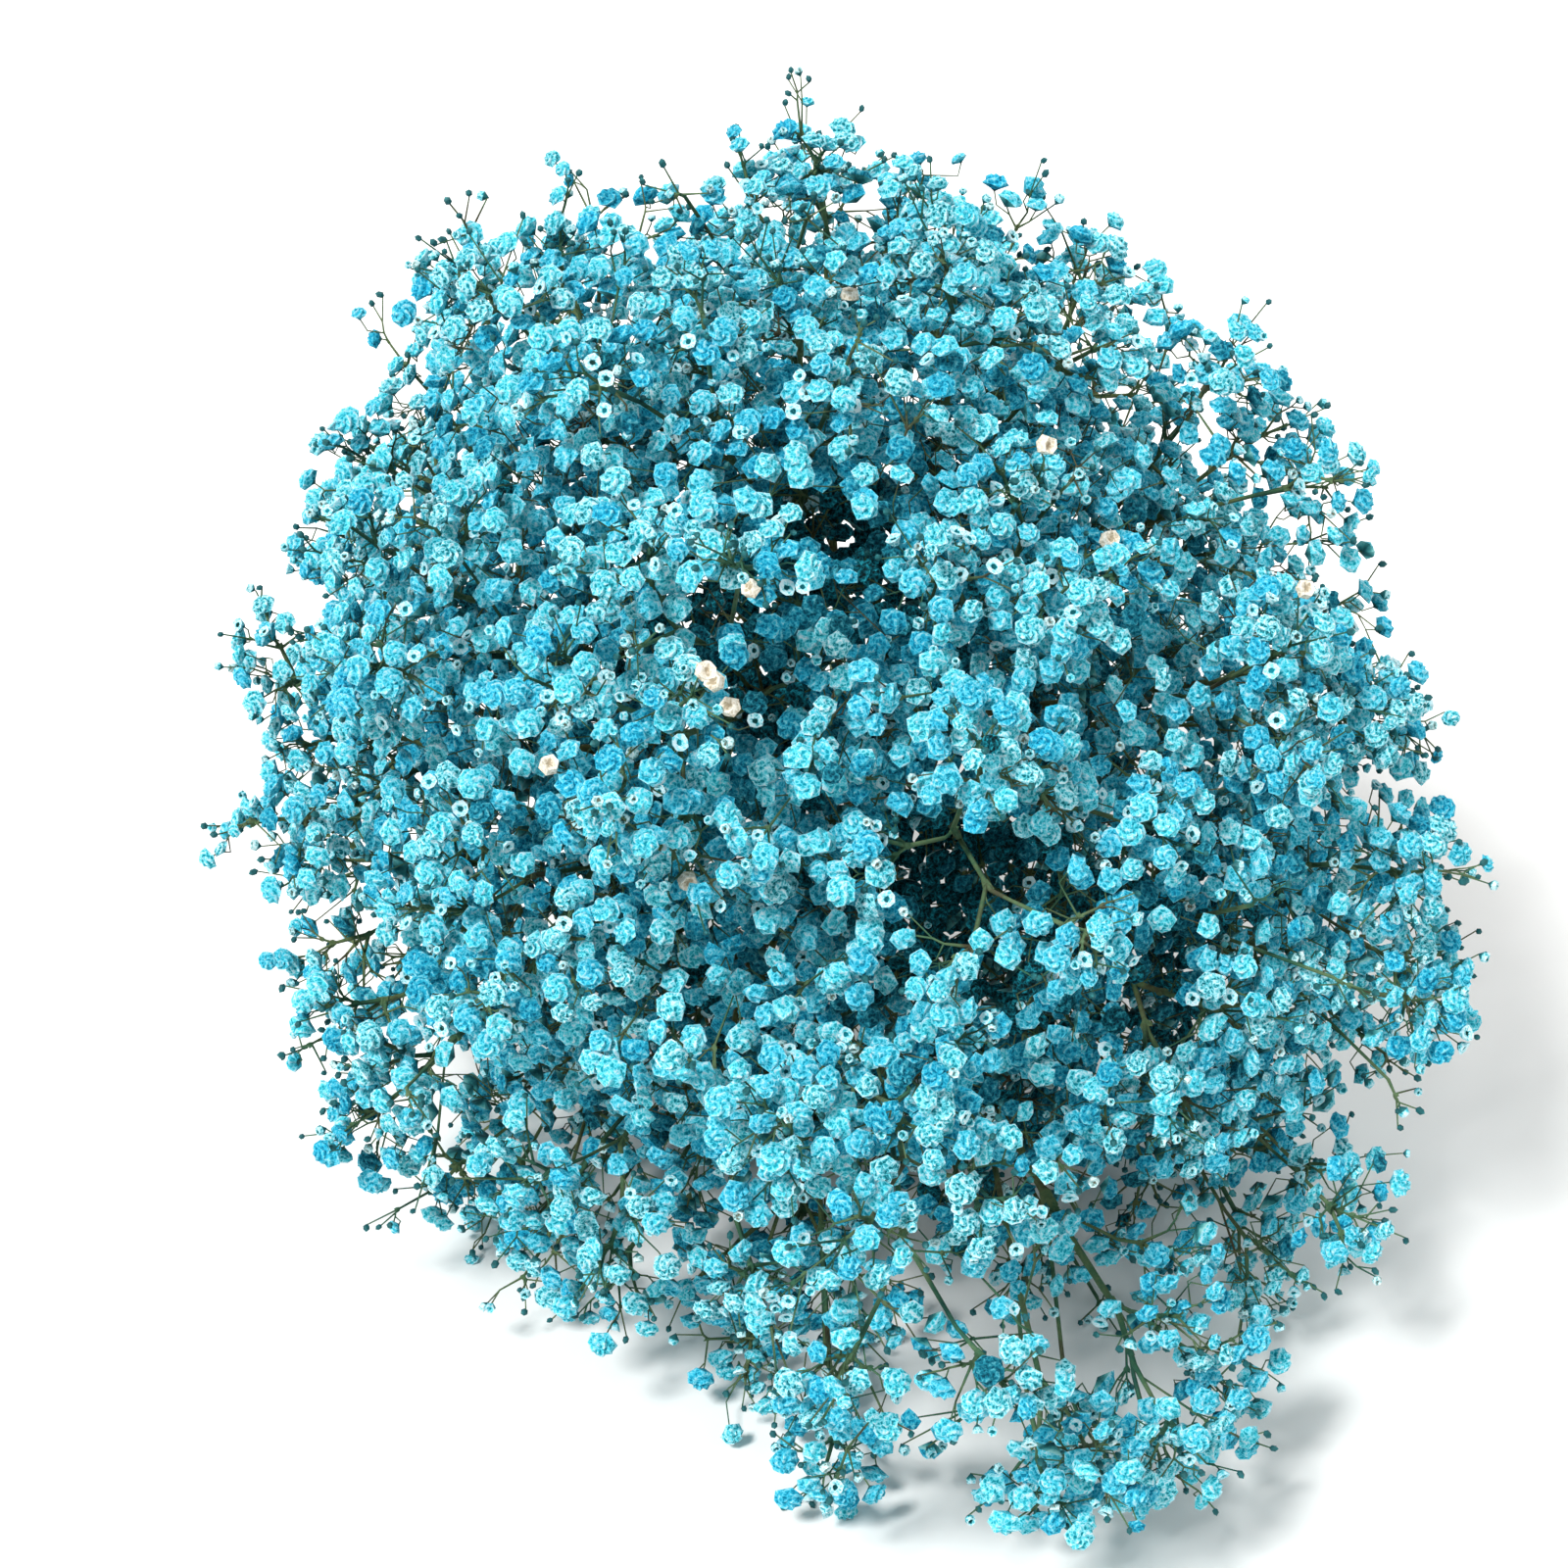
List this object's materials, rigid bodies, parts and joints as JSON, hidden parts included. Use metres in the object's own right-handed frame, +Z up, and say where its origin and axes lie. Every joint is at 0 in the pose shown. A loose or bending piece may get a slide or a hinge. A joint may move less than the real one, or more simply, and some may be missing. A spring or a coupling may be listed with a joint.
{
  "type": "dried baby's breath bunch",
  "caption": "Lying bunch of dyed dried baby's breath: cut sprays of small turquoise blooms and buds fan out from a rubber band.",
  "frame": {"origin": "middle of the bounding box's footprint, on the surface that the bunch lies on", "axes": "+Z up; the cut ends point to +Y and the head of blooms to -Y"},
  "size_m": [0.4132, 0.6116, 0.3742],
  "materials": {
    "dyed_spray": "dyed and dried petals and stems, matt and papery, turquoise with pale rims, teal calyxes and olive stems",
    "rubber_band": "natural rubber, matt, tan"
  },
  "bodies": {
    "root": {"spray_01": "dyed_spray", "spray_02": "dyed_spray", "spray_03": "dyed_spray", "spray_04": "dyed_spray", "spray_05": "dyed_spray", "spray_06": "dyed_spray", "spray_07": "dyed_spray", "spray_08": "dyed_spray", "spray_09": "dyed_spray", "spray_10": "dyed_spray", "spray_11": "dyed_spray", "spray_12": "dyed_spray", "spray_13": "dyed_spray", "spray_14": "dyed_spray", "spray_15": "dyed_spray", "spray_16": "dyed_spray", "spray_17": "dyed_spray", "spray_18": "dyed_spray", "spray_19": "dyed_spray", "spray_20": "dyed_spray", "spray_21": "dyed_spray", "spray_22": "dyed_spray", "spray_23": "dyed_spray", "spray_24": "dyed_spray", "spray_25": "dyed_spray", "spray_26": "dyed_spray", "spray_27": "dyed_spray", "spray_28": "dyed_spray", "spray_29": "dyed_spray", "spray_30": "dyed_spray", "band": "rubber_band"}
  },
  "joints": []
}
